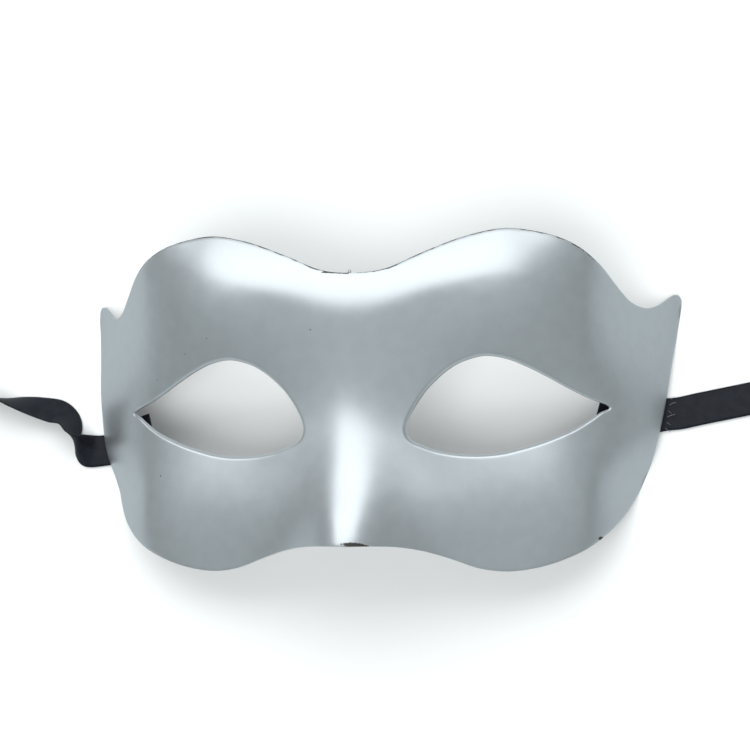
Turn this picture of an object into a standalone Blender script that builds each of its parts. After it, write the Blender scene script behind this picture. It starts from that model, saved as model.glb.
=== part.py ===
"""A masquerade half mask: one moulded plastic shell with two eye openings, and two ribbon ties.

Units are metres. The shell is laid out in the face frame: +X across, +Y up the face and +Z out of
the face. It then leans back until it rests on the table, with +Z up and the origin under its middle.
"""

import math

import bmesh
import bpy
import numpy as np
from mathutils import Matrix, Vector

# Driving dimensions of the shell.
HALF_WIDTH = 0.0915
BROW_HEIGHT = 0.0484
CHEEK_DROP = 0.0490
FACE_DEPTH = 0.0498
WALL = 0.0012

# The nose: a narrow ridge on a broad foot.
NOSE_RIDGE_RISE = 0.0105
NOSE_RIDGE_REACH = 0.0140
NOSE_FOOT_RISE = 0.0085
NOSE_FOOT_REACH = 0.0280

# Low relief of the face.
BROW_RISE = 0.0058
CHEEK_RISE = 0.0042
UNDER_EYE_RISE = 0.0026
SOCKET_DEPTH = 0.0024
BROW_ROLL = 0.0032
BROW_ROLL_REACH = 0.0140
RIM_DROP = 0.0068

# Each eye opening, from its round inner corner to its pointed outer one, and its turned-in lip.
EYE_START = 0.0150
EYE_LENGTH = 0.0560
EYE_LEVEL = -0.0031
EYE_UPPER = 0.0152
EYE_LOWER = 0.0128
LIP_REACH = 0.0010
LIP_DEPTH = 0.0016
BLEND_REACH = 0.0060

# Depth of the flat that the table plane cuts on the rim where the shell rests.
REST_FLAT = 0.0007

# The ribbon ties.
RIBBON_WIDTH = 0.0100
RIBBON_THICK = 0.0010
RIBBON_GAP = 0.0004

# Right half of the outer edge, from the middle of the brow round to the foot of the nose. across
# is a share of HALF_WIDTH. up is a share of BROW_HEIGHT, or of CHEEK_DROP where it is negative.
# The wall runs out from the eye opening in rays: eye is how far round the opening, clockwise from
# its inner corner, the row's ray starts, and rays is how many there are up to the next row.
OUTER_EDGE = [
    {"across": 0.000, "up": 0.752, "eye": 0.075, "rays": 2},
    {"across": 0.100, "up": 0.772, "eye": 0.100, "rays": 2},
    {"across": 0.215, "up": 0.862, "eye": 0.135, "rays": 3},
    {"across": 0.340, "up": 0.952, "eye": 0.180, "rays": 2},
    {"across": 0.460, "up": 1.000, "eye": 0.235, "rays": 2},
    {"across": 0.540, "up": 0.990, "eye": 0.275, "rays": 2},
    {"across": 0.635, "up": 0.945, "eye": 0.320, "rays": 1},
    {"across": 0.700, "up": 0.882, "eye": 0.350, "rays": 2},
    {"across": 0.757, "up": 0.785, "eye": 0.375, "rays": 2},
    {"across": 0.808, "up": 0.655, "eye": 0.395, "rays": 1},
    {"across": 0.847, "up": 0.570, "eye": 0.410, "rays": 1},
    {"across": 0.890, "up": 0.538, "eye": 0.425, "rays": 1},
    {"across": 0.934, "up": 0.562, "eye": 0.437, "rays": 1},
    {"across": 0.968, "up": 0.612, "eye": 0.447, "rays": 1},
    {"across": 0.986, "up": 0.630, "eye": 0.452, "rays": 1},
    {"across": 0.999, "up": 0.605, "eye": 0.457, "rays": 1},
    {"across": 1.000, "up": 0.560, "eye": 0.461, "rays": 2},
    {"across": 0.986, "up": 0.390, "eye": 0.474, "rays": 2},
    {"across": 0.971, "up": 0.226, "eye": 0.485, "rays": 2},
    {"across": 0.955, "up": 0.027, "eye": 0.500, "rays": 2},
    {"across": 0.938, "up": -0.143, "eye": 0.513, "rays": 2},
    {"across": 0.917, "up": -0.306, "eye": 0.528, "rays": 2},
    {"across": 0.888, "up": -0.470, "eye": 0.545, "rays": 2},
    {"across": 0.851, "up": -0.612, "eye": 0.570, "rays": 2},
    {"across": 0.800, "up": -0.745, "eye": 0.605, "rays": 2},
    {"across": 0.730, "up": -0.858, "eye": 0.645, "rays": 1},
    {"across": 0.658, "up": -0.925, "eye": 0.685, "rays": 2},
    {"across": 0.570, "up": -0.977, "eye": 0.730, "rays": 2},
    {"across": 0.470, "up": -1.000, "eye": 0.780, "rays": 2},
    {"across": 0.385, "up": -0.978, "eye": 0.820, "rays": 2},
    {"across": 0.300, "up": -0.918, "eye": 0.860, "rays": 1},
    {"across": 0.225, "up": -0.868, "eye": 0.895, "rays": 2},
    {"across": 0.140, "up": -0.832, "eye": 0.930, "rays": 3},
    {"across": 0.000, "up": -0.815, "eye": 0.955, "rays": 14},
]

# The eye opening. along is a share of EYE_LENGTH from the inner corner. rise is a share of
# EYE_UPPER above EYE_LEVEL, or of EYE_LOWER below it.
UPPER_LID = [
    {"along": 0.000, "rise": -0.406},
    {"along": 0.010, "rise": -0.190},
    {"along": 0.050, "rise": 0.118},
    {"along": 0.101, "rise": 0.381},
    {"along": 0.156, "rise": 0.585},
    {"along": 0.204, "rise": 0.730},
    {"along": 0.255, "rise": 0.849},
    {"along": 0.306, "rise": 0.928},
    {"along": 0.395, "rise": 1.000},
    {"along": 0.500, "rise": 0.942},
    {"along": 0.600, "rise": 0.790},
    {"along": 0.700, "rise": 0.593},
    {"along": 0.798, "rise": 0.382},
    {"along": 0.895, "rise": 0.191},
    {"along": 1.000, "rise": 0.000},
]
LOWER_LID = [
    {"along": 0.963, "rise": -0.090},
    {"along": 0.905, "rise": -0.266},
    {"along": 0.848, "rise": -0.422},
    {"along": 0.788, "rise": -0.547},
    {"along": 0.671, "rise": -0.742},
    {"along": 0.550, "rise": -0.890},
    {"along": 0.486, "rise": -0.955},
    {"along": 0.379, "rise": -1.000},
    {"along": 0.254, "rise": -0.977},
    {"along": 0.145, "rise": -0.883},
    {"along": 0.084, "rise": -0.781},
    {"along": 0.040, "rise": -0.695},
    {"along": 0.009, "rise": -0.562},
]

# Section of the face from its middle to the temple. deep is a share of FACE_DEPTH.
FACE_SECTION = [
    {"across": 0.000, "deep": 1.000},
    {"across": 0.160, "deep": 0.975},
    {"across": 0.320, "deep": 0.918},
    {"across": 0.480, "deep": 0.862},
    {"across": 0.600, "deep": 0.796},
    {"across": 0.700, "deep": 0.704},
    {"across": 0.780, "deep": 0.590},
    {"across": 0.850, "deep": 0.455},
    {"across": 0.920, "deep": 0.300},
    {"across": 1.000, "deep": 0.115},
]

# How the nose comes out of the face, as shares of its rises and of its ridge's reach, on the same
# up scale.
NOSE_PROFILE = [
    {"up": 1.00, "share": 0.000, "reach": 0.60},
    {"up": 0.50, "share": 0.020, "reach": 0.60},
    {"up": 0.25, "share": 0.045, "reach": 0.60},
    {"up": 0.10, "share": 0.075, "reach": 0.61},
    {"up": -0.11, "share": 0.165, "reach": 0.66},
    {"up": -0.30, "share": 0.320, "reach": 0.76},
    {"up": -0.46, "share": 0.500, "reach": 0.86},
    {"up": -0.67, "share": 0.840, "reach": 0.97},
    {"up": -0.80, "share": 1.000, "reach": 1.00},
    {"up": -1.00, "share": 1.120, "reach": 1.00},
]

# Soft swellings and hollows: where each one is, what it is worth and how far it reaches.
RELIEF = [
    {"across": 0.42, "up": 0.60, "rise": BROW_RISE, "wide": 0.30, "high": 0.38},
    {"across": 0.74, "up": -0.72, "rise": CHEEK_RISE, "wide": 0.22, "high": 0.42},
    {"across": 0.40, "up": -0.66, "rise": UNDER_EYE_RISE, "wide": 0.28, "high": 0.30},
    {"across": 0.50, "up": -0.05, "rise": -SOCKET_DEPTH, "wide": 0.28, "high": 0.24},
]

# How far the side rim is bent in to the table, as a share of RIM_DROP. It is bent least where the
# ribbons pass under it.
SIDE_RIM = [
    {"up": 1.00, "share": 1.04},
    {"up": 0.58, "share": 1.04},
    {"up": 0.40, "share": 0.76},
    {"up": 0.27, "share": 0.46},
    {"up": 0.12, "share": 0.08},
    {"up": -0.02, "share": -0.14},
    {"up": -0.15, "share": -0.24},
    {"up": -0.27, "share": -0.26},
    {"up": -0.39, "share": 0.20},
    {"up": -0.50, "share": 0.92},
    {"up": -0.56, "share": 1.08},
    {"up": -0.62, "share": 1.00},
    {"up": -0.70, "share": 0.75},
    {"up": -0.82, "share": 0.50},
    {"up": -1.00, "share": 0.50},
]
SIDE_RIM_START = 0.70
SIDE_RIM_END = 0.98

# The brow's rolled edge fades out between these shares of HALF_WIDTH. It runs on this far past the
# brow's line, as a share of its reach, and that line is the first rows of OUTER_EDGE.
BROW_ROLL_START = 0.50
BROW_ROLL_END = 0.76
BROW_ROLL_LIMIT = 1.2
BROW_ROWS = 9

# Where each ribbon is glued to the inside of the temple, from its inner end to where it leaves the
# wall, and its free route along the table. out is how far past HALF_WIDTH a point lies, and turn
# is the ribbon's twist in degrees: 0 lies flat.
RIBBONS = [
    {
        "name": "ribbon_right",
        "side": 1,
        "seat": [{"across": 0.768, "up": -0.082}, {"across": 0.835, "up": -0.115}],
        "route": [
            {"out": -0.0137, "y": 0.0042, "z": 0.00480, "turn": 0},
            {"out": -0.0113, "y": 0.0047, "z": 0.00170, "turn": 0},
            {"out": -0.0083, "y": 0.0053, "z": 0.00062, "turn": 0},
            {"out": -0.0047, "y": 0.0059, "z": 0.00058, "turn": 0},
            {"out": -0.0007, "y": 0.0063, "z": 0.00058, "turn": 0},
            {"out": 0.0052, "y": 0.0076, "z": 0.00058, "turn": 0},
            {"out": 0.0125, "y": 0.0091, "z": 0.00058, "turn": 0},
            {"out": 0.0198, "y": 0.0106, "z": 0.00058, "turn": 0},
            {"out": 0.0240, "y": 0.0115, "z": 0.00058, "turn": 0},
            {"out": 0.0284, "y": 0.0124, "z": 0.00058, "turn": 0},
        ],
    },
    {
        "name": "ribbon_left",
        "side": -1,
        "seat": [{"across": 0.764, "up": -0.080}, {"across": 0.825, "up": -0.190}],
        "route": [
            {"out": -0.0147, "y": -0.0019, "z": 0.00520, "turn": 0},
            {"out": -0.0123, "y": -0.0023, "z": 0.00200, "turn": 0},
            {"out": -0.0095, "y": -0.0026, "z": 0.00066, "turn": 0},
            {"out": -0.0049, "y": -0.0032, "z": 0.00130, "turn": 8},
            {"out": -0.0023, "y": -0.0035, "z": 0.00340, "turn": 35},
            {"out": -0.0003, "y": -0.0029, "z": 0.00520, "turn": 70},
            {"out": 0.0011, "y": -0.0006, "z": 0.00550, "turn": 97},
            {"out": 0.0028, "y": 0.0029, "z": 0.00500, "turn": 118},
            {"out": 0.0058, "y": 0.0061, "z": 0.00380, "turn": 138},
            {"out": 0.0103, "y": 0.0085, "z": 0.00290, "turn": 152},
            {"out": 0.0165, "y": 0.0100, "z": 0.00360, "turn": 143},
            {"out": 0.0230, "y": 0.0113, "z": 0.00460, "turn": 126},
            {"out": 0.0280, "y": 0.0122, "z": 0.00520, "turn": 110},
            {"out": 0.0340, "y": 0.0132, "z": 0.00540, "turn": 103},
        ],
    },
]
SEAT_SECTIONS = 4
SEAT_STEPS = 2
ROUTE_STEPS = 3

# How the wall is divided from the eye opening out to the edge.
LIP_TURNS = [90, 40, 0]
OUTER_RINGS = 5
EYE_STEPS = 16
EYE_TANGENT_STEP = 0.004

# Step over which the slope of the face is taken, the angle above which a ribbon's edge is drawn
# sharp, and how near the two halves' points must lie to become one.
SLOPE_STEP = 0.0003
SHARP_EDGE = 40
MIRROR_MERGE = 0.00005


def smooth_walk(points, closed, steps):
    """Points on a smooth curve through the given ones, steps[i] of them from point i to the next."""
    points = [np.array(point, float) for point in points]
    count = len(points)
    spans = count if closed else count - 1
    walk = []
    for i in range(spans):
        before, start, end, after = (points[j % count] for j in (i - 1, i, i + 1, i + 2))
        if not closed and i == 0:
            before = 2 * start - end
        if not closed and i == spans - 1:
            after = 2 * end - start
        k0 = 0.0
        k1 = k0 + math.sqrt(np.linalg.norm(start - before))
        k2 = k1 + math.sqrt(np.linalg.norm(end - start))
        k3 = k2 + math.sqrt(np.linalg.norm(after - end))
        for step in range(steps[i]):
            t = k1 + (k2 - k1) * step / steps[i]
            a1 = ((k1 - t) * before + (t - k0) * start) / (k1 - k0)
            a2 = ((k2 - t) * start + (t - k1) * end) / (k2 - k1)
            a3 = ((k3 - t) * end + (t - k2) * after) / (k3 - k2)
            b1 = ((k2 - t) * a1 + (t - k0) * a2) / (k2 - k0)
            b2 = ((k3 - t) * a2 + (t - k1) * a3) / (k3 - k1)
            walk.append(((k2 - t) * b1 + (t - k1) * b2) / (k2 - k1))
    if not closed:
        walk.append(points[-1])
    return np.array(walk)


def smooth_line(rows, across, value, mirrored=False):
    """A function that runs smoothly through a table's rows, and straight on past its ends."""
    knots = np.array([row[across] for row in rows], float)
    values = np.array([row[value] for row in rows], float)
    if mirrored:
        knots = np.concatenate([-knots[:0:-1], knots])
        values = np.concatenate([values[:0:-1], values])
    order = np.argsort(knots)
    knots, values = knots[order], values[order]
    gaps = np.diff(knots)
    slopes = np.diff(values) / gaps
    matrix = np.eye(len(knots))
    target = np.zeros(len(knots))
    for i in range(1, len(knots) - 1):
        matrix[i, i - 1:i + 2] = gaps[i - 1], 2 * (gaps[i - 1] + gaps[i]), gaps[i]
        target[i] = 6 * (slopes[i] - slopes[i - 1])
    bends = np.linalg.solve(matrix, target)
    first_slope = slopes[0] - gaps[0] * bends[1] / 6
    last_slope = slopes[-1] + gaps[-1] * bends[-2] / 6

    def evaluate(at):
        at = np.asarray(at, float)
        inside = np.clip(at, knots[0], knots[-1])
        i = np.clip(np.searchsorted(knots, inside) - 1, 0, len(gaps) - 1)
        t = (inside - knots[i]) / gaps[i]
        curve = ((1 - t) ** 3 - (1 - t)) * bends[i] + (t ** 3 - t) * bends[i + 1]
        smooth = (1 - t) * values[i] + t * values[i + 1] + gaps[i] ** 2 / 6 * curve
        before = np.minimum(at - knots[0], 0) * first_slope
        after = np.maximum(at - knots[-1], 0) * last_slope
        return smooth + before + after

    return evaluate


def ease(share):
    """A share that starts and ends gently between 0 and 1."""
    share = np.clip(share, 0, 1)
    return share * share * (3 - 2 * share)


def bell(distance):
    return np.exp(-distance ** 2)


def place_up(up):
    """Height on the face of an up share."""
    return up * (BROW_HEIGHT if up > 0 else CHEEK_DROP)


section = smooth_line(FACE_SECTION, "across", "deep", mirrored=True)
nose_share = smooth_line(NOSE_PROFILE, "up", "share")
nose_reach = smooth_line(NOSE_PROFILE, "up", "reach")
rim_share = smooth_line(SIDE_RIM, "up", "share")
brow_line = smooth_line(OUTER_EDGE[:BROW_ROWS], "across", "up", mirrored=True)


def face_height(x, y):
    """How far the outer face stands out at a place on the face, without the eye openings."""
    x, y = np.abs(np.asarray(x, float)), np.asarray(y, float)
    across = x / HALF_WIDTH
    up = y / np.where(y > 0, BROW_HEIGHT, CHEEK_DROP)
    height = FACE_DEPTH * section(across)
    nose = NOSE_RIDGE_RISE * bell(x / (NOSE_RIDGE_REACH * nose_reach(up)))
    nose += NOSE_FOOT_RISE * bell(x / NOSE_FOOT_REACH)
    height += nose * nose_share(up)
    for swell in RELIEF:
        reach = bell((across - swell["across"]) / swell["wide"])
        reach += bell((across + swell["across"]) / swell["wide"])
        height += swell["rise"] * reach * bell((up - swell["up"]) / swell["high"])
    below_brow = (brow_line(np.minimum(across, BROW_ROLL_END)) - up) * BROW_HEIGHT
    roll = np.clip(1 - below_brow / BROW_ROLL_REACH, 0, BROW_ROLL_LIMIT) ** 2
    roll_fade = ease((across - BROW_ROLL_START) / (BROW_ROLL_END - BROW_ROLL_START))
    height -= BROW_ROLL * roll * (1 - roll_fade)
    side_share = ease((across - SIDE_RIM_START) / (SIDE_RIM_END - SIDE_RIM_START))
    height -= RIM_DROP * rim_share(up) * side_share
    return height


def eye_loop():
    """The eye opening as a dense clockwise loop from its inner corner, and each point's way round."""
    points = []
    for row in UPPER_LID + LOWER_LID:
        reach = EYE_UPPER if row["rise"] > 0 else EYE_LOWER
        points.append((EYE_START + row["along"] * EYE_LENGTH, EYE_LEVEL + row["rise"] * reach))
    loop = smooth_walk(points, True, [EYE_STEPS] * len(points))
    corner = EYE_STEPS * (len(UPPER_LID) - 1)
    ends = np.roll(loop, -1, axis=0)
    run = np.concatenate([[0], np.cumsum(np.linalg.norm(ends - loop, axis=1))])
    turn = np.interp(run, [0, run[corner], run[-1]], [0, 0.5, 1])
    return np.vstack([loop, loop[:1]]), turn


def eye_places(turns, offset):
    """Places round the eye opening, moved out from it by an offset."""
    loop, loop_turns = eye_loop()
    turns = np.asarray(turns) % 1.0

    def place(at):
        at = at % 1.0
        return np.stack([np.interp(at, loop_turns, loop[:, k]) for k in (0, 1)], axis=1)

    along = place(turns + EYE_TANGENT_STEP) - place(turns - EYE_TANGENT_STEP)
    along /= np.linalg.norm(along, axis=1)[:, None]
    outward = np.stack([-along[:, 1], along[:, 0]], axis=1)
    return place(turns) + offset * outward


def half_border(split=1):
    """The border of the right half, clockwise from the middle of the brow, with each ray's turn."""
    rows = [(row["across"] * HALF_WIDTH, place_up(row["up"])) for row in OUTER_EDGE]
    steps = [row["rays"] * split for row in OUTER_EDGE]
    mirrored_start = [(-rows[1][0], rows[1][1])]
    mirrored_end = [(-rows[-2][0], rows[-2][1])]
    edge = smooth_walk(mirrored_start + rows + mirrored_end, False, [1] + steps[:-1] + [1])[1:-1]
    middle = np.linspace(rows[-1], rows[0], steps[-1] + 1)[1:-1]
    turns = []
    eyes = [row["eye"] for row in OUTER_EDGE] + [1 + OUTER_EDGE[0]["eye"]]
    for start, end, count in zip(eyes, eyes[1:], steps):
        turns += [start + (end - start) * step / count for step in range(count)]
    return np.vstack([edge, middle]), np.array(turns)


def shell_rings(split=1, lip_turns=LIP_TURNS, blend_rings=1, outer_rings=OUTER_RINGS):
    """The outer face of the right half as rings of points, from the eye's lip to the border."""
    border, turns = half_border(split)
    rings = []
    for angle in lip_turns:
        lean = math.radians(angle)
        places = eye_places(turns, LIP_REACH * (1 - math.sin(lean)))
        rings.append((places, -LIP_DEPTH * (1 - math.cos(lean))))
    for ring in range(1, 2 * blend_rings + 1):
        share = ring / (2 * blend_rings)
        offset = LIP_REACH + (BLEND_REACH - LIP_REACH) * share
        rings.append((eye_places(turns, offset), 0.0))
    inner = rings[-1][0]
    for ring in range(1, outer_rings + 1):
        share = ring / outer_rings
        rings.append((inner + (border - inner) * share, 0.0))
    solid = []
    for places, rise in rings:
        heights = face_height(places[:, 0], places[:, 1]) + rise
        solid.append(np.column_stack([places, heights]))
    return solid


def clear_scene():
    for old in list(bpy.data.objects):
        bpy.data.objects.remove(old, do_unlink=True)


def make_material(name, colour, roughness, metallic):
    material = bpy.data.materials.new(name)
    material.use_nodes = True
    shader = material.node_tree.nodes["Principled BSDF"]
    shader.inputs["Base Color"].default_value = (*colour, 1.0)
    shader.inputs["Roughness"].default_value = roughness
    shader.inputs["Metallic"].default_value = metallic
    return material


def add_object(name, mesh, material):
    made = bpy.data.objects.new(name, mesh)
    bpy.context.scene.collection.objects.link(made)
    if material:
        mesh.materials.append(material)
    mesh.shade_smooth()
    return made


def make_shell(material):
    """The half sheet from the eye out to the border, mirrored and given its wall."""
    rings = shell_rings()
    form = bmesh.new()
    grid = [[form.verts.new(point) for point in ring] for ring in rings]
    rays = len(grid[0])
    for inner, outer in zip(grid, grid[1:]):
        for i in range(rays):
            following = (i + 1) % rays
            form.faces.new((inner[i], inner[following], outer[following], outer[i]))
    mesh = bpy.data.meshes.new("mask_shell")
    form.to_mesh(mesh)
    form.free()
    shell = add_object("mask_shell", mesh, material)
    mirror = shell.modifiers.new("other_half", "MIRROR")
    mirror.use_clip = True
    mirror.merge_threshold = MIRROR_MERGE
    wall = shell.modifiers.new("wall", "SOLIDIFY")
    wall.thickness = WALL
    wall.offset = -1
    wall.use_even_offset = True
    return shell


def evaluated_points(made):
    """Places and face areas of an object as its modifiers leave it, before it is placed."""
    bpy.context.view_layer.update()
    evaluated = made.evaluated_get(bpy.context.evaluated_depsgraph_get())
    mesh = evaluated.to_mesh()
    points = np.array([vertex.co[:] for vertex in mesh.vertices])
    centres = np.array([face.center[:] for face in mesh.polygons])
    areas = np.array([face.area for face in mesh.polygons])
    evaluated.to_mesh_clear()
    return points, (centres * areas[:, None]).sum(axis=0) / areas.sum()


def resting_lean(points, weight):
    """The lean at which the shell rests: the side of its profile's hull under its weight."""
    profile = sorted({(round(y, 7), round(z, 7)) for x, y, z in points})
    hull = []
    for spot in profile:
        while len(hull) > 1 and turn_of(hull[-2], hull[-1], spot) <= 0:
            hull.pop()
        hull.append(spot)
    for low, high in zip(hull, hull[1:]):
        along = np.subtract(high, low)
        share = np.dot(np.subtract(weight[1:], low), along) / np.dot(along, along)
        if 0 <= share <= 1:
            return math.atan2(-along[1], along[0])
    raise ValueError("the shell has no side to rest on")


def turn_of(a, b, c):
    return (b[0] - a[0]) * (c[1] - a[1]) - (b[1] - a[1]) * (c[0] - a[0])


def rest_on_table(shell):
    """Lean the shell back to its rest, sink it by the depth of its flats and cut them."""
    points, weight = evaluated_points(shell)
    lean = resting_lean(points, weight)
    turned = points @ np.array(Matrix.Rotation(lean, 3, "X").transposed())
    low, high = turned.min(axis=0), turned.max(axis=0)
    place = Vector((0, -(low[1] + high[1]) / 2, -low[2] - REST_FLAT))
    shell.rotation_euler = (lean, 0, 0)
    shell.location = place
    bpy.ops.mesh.primitive_cube_add(size=1)
    table = bpy.context.active_object
    table.name = "table_cutter"
    table.scale = (4 * HALF_WIDTH, 4 * HALF_WIDTH, HALF_WIDTH)
    table.location = (0, 0, -HALF_WIDTH / 2)
    table.hide_render = True
    table.display_type = "WIRE"
    flats = shell.modifiers.new("rest_flats", "BOOLEAN")
    flats.operation = "DIFFERENCE"
    flats.solver = "EXACT"
    flats.object = table
    return Matrix.Translation(place) @ Matrix.Rotation(lean, 4, "X")


def face_normal(x, y):
    """Which way the outer face looks at a place on the face."""
    step = SLOPE_STEP
    slope_x = (face_height(x + step, y) - face_height(x - step, y)) / (2 * step)
    slope_y = (face_height(x, y + step) - face_height(x, y - step)) / (2 * step)
    return Vector((-slope_x, -slope_y, 1)).normalized()


def seat_rows(ribbon, placed):
    """Middle and side direction of the ribbon where it is glued, just under the wall."""
    corners = []
    for row in ribbon["seat"]:
        corners.append(Vector((ribbon["side"] * row["across"] * HALF_WIDTH, place_up(row["up"]))))
    rows = []
    for i in range(SEAT_SECTIONS):
        share = i / (SEAT_SECTIONS - 1)
        x, y = corners[0].lerp(corners[1], share)
        normal = face_normal(x, y)
        under_lip = (LIP_DEPTH + 2 * RIBBON_GAP) * (1 - ease(share))
        depth = WALL + RIBBON_GAP + RIBBON_THICK / 2 + float(under_lip)
        middle = Vector((x, y, float(face_height(x, y)))) - normal * depth
        run = (corners[1] - corners[0]).to_3d()
        side = normal.cross(run).normalized()
        rows.append((placed @ middle, placed.to_3x3() @ side))
    return rows


def route_rows(ribbon):
    """Middle and side direction of the ribbon along its free route."""
    places = []
    for row in ribbon["route"]:
        places.append(Vector((ribbon["side"] * (HALF_WIDTH + row["out"]), row["y"], row["z"])))
    rows = []
    for i, row in enumerate(ribbon["route"]):
        run = places[min(i + 1, len(places) - 1)] - places[max(i - 1, 0)]
        run.z = 0
        flat = Vector((0, 0, 1)).cross(run).normalized()
        side = Matrix.Rotation(-math.radians(row["turn"]), 3, run) @ flat
        rows.append((places[i], side))
    return rows


def make_ribbon(ribbon, placed, material):
    """A strip swept along its seat and its route."""
    rows = seat_rows(ribbon, placed) + route_rows(ribbon)
    half = RIBBON_WIDTH / 2
    edges = [tuple(middle - side * half) + tuple(middle + side * half) for middle, side in rows]
    steps = [SEAT_STEPS] * (SEAT_SECTIONS - 1) + [ROUTE_STEPS] * (len(rows) - SEAT_SECTIONS)
    walk = smooth_walk(edges, False, steps)
    form = bmesh.new()
    rings = []
    for i, row in enumerate(walk):
        low, high = Vector(row[:3]), Vector(row[3:])
        middle = (low + high) / 2
        side = (high - low).normalized()
        ahead, behind = walk[min(i + 1, len(walk) - 1)], walk[max(i - 1, 0)]
        run = Vector(ahead[:3] + ahead[3:] - behind[:3] - behind[3:])
        face = run.cross(side).normalized()
        ring = []
        for across, out in ((-1, -1), (1, -1), (1, 1), (-1, 1)):
            corner = middle + side * across * half + face * out * RIBBON_THICK / 2
            ring.append(form.verts.new(corner))
        rings.append(ring)
    for ring, following in zip(rings, rings[1:]):
        for k in range(4):
            form.faces.new((ring[k], ring[(k + 1) % 4], following[(k + 1) % 4], following[k]))
    form.faces.new(rings[0][::-1])
    form.faces.new(rings[-1])
    bmesh.ops.recalc_face_normals(form, faces=form.faces)
    mesh = bpy.data.meshes.new(ribbon["name"])
    form.to_mesh(mesh)
    form.free()
    strip = add_object(ribbon["name"], mesh, material)
    mesh.set_sharp_from_angle(angle=math.radians(SHARP_EDGE))
    return strip


def main():
    clear_scene()
    silver = make_material("silver_paint", (0.42, 0.43, 0.45), 0.36, 0.85)
    shell = make_shell(silver)
    placed = rest_on_table(shell)
    black = make_material("black_satin", (0.018, 0.019, 0.024), 0.42, 0.0)
    for ribbon in RIBBONS:
        make_ribbon(ribbon, placed, black)


main()
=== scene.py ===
"""The looks of the masquerade half mask: a silver painted shell and two black satin ribbon ties.

Units are metres. The shell is worked out in the face frame, +X across, +Y up the face and +Z out of
it, and then leans back until its rims rest on the table.
"""

import math

import bmesh
import bpy
import numpy as np
from mathutils import Matrix, Vector


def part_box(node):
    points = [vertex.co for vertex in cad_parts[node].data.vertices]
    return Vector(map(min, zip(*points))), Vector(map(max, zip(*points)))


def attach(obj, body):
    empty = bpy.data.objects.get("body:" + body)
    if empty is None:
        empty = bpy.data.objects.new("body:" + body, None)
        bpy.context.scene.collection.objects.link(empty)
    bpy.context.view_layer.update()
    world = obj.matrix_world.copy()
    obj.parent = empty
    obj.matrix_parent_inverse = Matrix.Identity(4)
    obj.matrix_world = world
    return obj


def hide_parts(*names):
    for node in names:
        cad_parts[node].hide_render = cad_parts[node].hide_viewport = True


# Driving dimensions of the shell.
HALF_WIDTH = 0.0915
BROW_HEIGHT = 0.0484
CHEEK_DROP = 0.0490
FACE_DEPTH = 0.0498
WALL = 0.0012

# The nose: a narrow ridge on a broad foot.
NOSE_RIDGE_RISE = 0.0105
NOSE_RIDGE_REACH = 0.0140
NOSE_FOOT_RISE = 0.0085
NOSE_FOOT_REACH = 0.0280

# Low relief of the face.
BROW_RISE = 0.0058
CHEEK_RISE = 0.0042
UNDER_EYE_RISE = 0.0018
SOCKET_DEPTH = 0.0024
BROW_ROLL = 0.0032
BROW_ROLL_REACH = 0.0140
RIM_DROP = 0.0068

# Each eye opening, from its round inner corner to its pointed outer one, which is halfway round it,
# and its turned-in lip.
EYE_START = 0.0150
EYE_LENGTH = 0.0560
EYE_LEVEL = -0.0031
EYE_UPPER = 0.0152
EYE_LOWER = 0.0128
OUTER_CORNER = 0.5
LIP_REACH = 0.0010
LIP_DEPTH = 0.0016
BLEND_REACH = 0.0060

# The ribbon ties, and the film of glue that holds them to the wall.
RIBBON_WIDTH = 0.0100
RIBBON_THICK = 0.0010
RIBBON_GAP = 0.0004

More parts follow.
